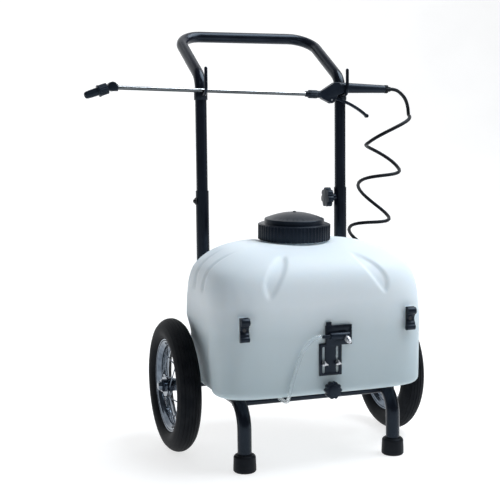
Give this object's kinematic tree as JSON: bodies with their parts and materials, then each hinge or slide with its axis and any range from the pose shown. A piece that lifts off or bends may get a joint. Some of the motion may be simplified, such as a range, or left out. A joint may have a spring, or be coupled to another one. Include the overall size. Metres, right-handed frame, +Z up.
{
  "type": "wheeled sprayer cart",
  "caption": "Wheeled sprayer cart with a moulded tank on a bent-tube frame, a sliding handle that carries a spray lance with a curly hose, and a fan nozzle in front.",
  "frame": {"origin": "on the floor, at the middle of the rectangle that the cart covers without its hoses", "axes": "+X to the right seen from the front, +Y from the front legs towards the handle, +Z up"},
  "size_m": [0.8523, 0.6085, 1.0179],
  "materials": {
    "black_paint": "satin black powder coat",
    "black_rubber": "matte",
    "tyre": "matte, ribbed tread",
    "chrome": "bright plating",
    "zinc_steel": "zinc plate",
    "aluminium": "drawn and polished",
    "dark_steel": "dark paint",
    "tank_plastic": "milky translucent moulding",
    "clear_hose": "clear flexible tube",
    "red_plastic": "gloss",
    "white_plastic": "plain",
    "black_plastic": "satin moulding",
    "battery_case": "plain"
  },
  "bodies": {
    "frame": {"side_tube_left": "black_paint", "side_tube_right": "black_paint", "front_cross_tube": "black_paint", "rear_cross_tube": "black_paint", "rubber_feet": "black_rubber", "axle": "zinc_steel", "axle_spacers": "black_paint", "axle_caps": "chrome", "tank_lower_left": "tank_plastic", "tank_lower_right": "tank_plastic", "tank_upper_left": "tank_plastic", "tank_upper_right": "tank_plastic", "filler_neck": "tank_plastic", "frame_bolts": "zinc_steel", "lance_clips": "black_plastic", "knob_boss": "black_paint", "guide_bolt": "dark_steel", "front_screws": "zinc_steel", "drain_fitting": "black_plastic", "pump_tray": "black_paint", "pump_cover": "black_plastic", "battery": "battery_case", "pump_motor": "dark_steel", "pump_head": "black_plastic", "suction_elbow": "black_plastic", "outlet_tee": "black_plastic", "power_switch": "black_plastic", "curly_hose": "black_rubber", "feed_hose": "clear_hose"},
    "handle": {"handle_tube": "black_paint", "lance_hooks": "black_paint", "hose_lead": "black_rubber"},
    "gun": {"lance_tube": "aluminium", "lance_elbow": "black_plastic", "gun_nut": "black_plastic", "gun_body": "black_plastic", "trigger_pin": "zinc_steel", "hose_boot": "black_rubber"},
    "trigger": {"trigger": "black_plastic"},
    "spray_head": {"spray_head": "black_plastic"},
    "cap_seal": {"cap_gasket": "black_rubber"},
    "cap": {"filler_cap": "black_plastic"},
    "wheel_left": {"tyre_left": "tyre", "rim_left": "chrome", "hub_left": "chrome", "wire_spokes_left": "chrome", "hub_bushes_left": "white_plastic"},
    "wheel_right": {"tyre_right": "tyre", "rim_right": "chrome", "hub_right": "chrome", "wire_spokes_right": "chrome", "hub_bushes_right": "white_plastic"},
    "bracket": {"slotted_bracket": "black_paint", "fan_nozzle": "black_plastic", "fan_tip": "zinc_steel"},
    "wing_nut_left": {"wing_nut_left": "zinc_steel"},
    "wing_nut_right": {"wing_nut_right": "zinc_steel"},
    "drain_knob": {"drain_knob": "black_plastic"},
    "switch_rocker": {"switch_rocker": "red_plastic"},
    "lock_knob": {"lock_knob": "black_plastic"}
  },
  "joints": [
    {"name": "handle_slide", "type": "slide", "parent": "frame", "child": "handle", "axis": [0, 0, 1], "range_m": [-0.18, 0], "deforming": ["curly_hose"]},
    {"name": "gun_slide", "type": "slide", "parent": "handle", "child": "gun", "axis": [-0.9997, 0, 0.0262], "range_m": [0, 0.08], "deforming": ["hose_lead"]},
    {"name": "trigger_pull", "type": "hinge", "parent": "gun", "child": "trigger", "pos_m": [0.22037, 0.05884, 0.83367], "axis": [0, -1, 0], "range_deg": [0, 10], "stiffness_Nm_per_rad": 0.6},
    {"name": "head_turn", "type": "hinge", "parent": "gun", "child": "spray_head", "pos_m": [-0.33204, 0.05884, 0.86314], "axis": [-0.9483, 0, -0.3173], "range_deg": [0, 360]},
    {"name": "cap_lift", "type": "slide", "parent": "frame", "child": "cap_seal", "axis": [0, -0.0523, 0.9986], "range_m": [0, 0.06]},
    {"name": "cap_turn", "type": "hinge", "parent": "cap_seal", "child": "cap", "pos_m": [0.07483, -0.05266, 0.5023], "axis": [0, -0.0523, 0.9986], "range_deg": [0, 450]},
    {"name": "wheel_left_spin", "type": "hinge", "parent": "frame", "child": "wheel_left", "pos_m": [-0.20917, 0.01234, 0.1585], "axis": [1, 0, 0], "continuous": true},
    {"name": "wheel_right_spin", "type": "hinge", "parent": "frame", "child": "wheel_right", "pos_m": [0.35883, 0.01234, 0.1585], "axis": [1, 0, 0], "continuous": true},
    {"name": "bracket_slide", "type": "slide", "parent": "frame", "child": "bracket", "axis": [0, 0, 1], "range_m": [-0.008, 0.018], "deforming": ["feed_hose"]},
    {"name": "wing_left_turn", "type": "hinge", "parent": "frame", "child": "wing_nut_left", "pos_m": [0.05833, -0.26966, 0.2433], "axis": [0, 1, 0], "range_deg": [0, 720]},
    {"name": "wing_right_turn", "type": "hinge", "parent": "frame", "child": "wing_nut_right", "pos_m": [0.09133, -0.26966, 0.2433], "axis": [0, 1, 0], "range_deg": [0, 720]},
    {"name": "drain_turn", "type": "hinge", "parent": "frame", "child": "drain_knob", "pos_m": [0.07483, -0.27366, 0.1843], "axis": [0, -1, 0], "range_deg": [0, 540]},
    {"name": "rocker_tilt", "type": "hinge", "parent": "frame", "child": "switch_rocker", "pos_m": [-0.01717, 0.21314, 0.2626], "axis": [1, 0, 0], "range_deg": [-10, 10]},
    {"name": "lock_knob_turn", "type": "hinge", "parent": "frame", "child": "lock_knob", "pos_m": [0.22483, 0.08734, 0.59], "axis": [1, 0, 0], "range_deg": [0, 720]}
  ]
}
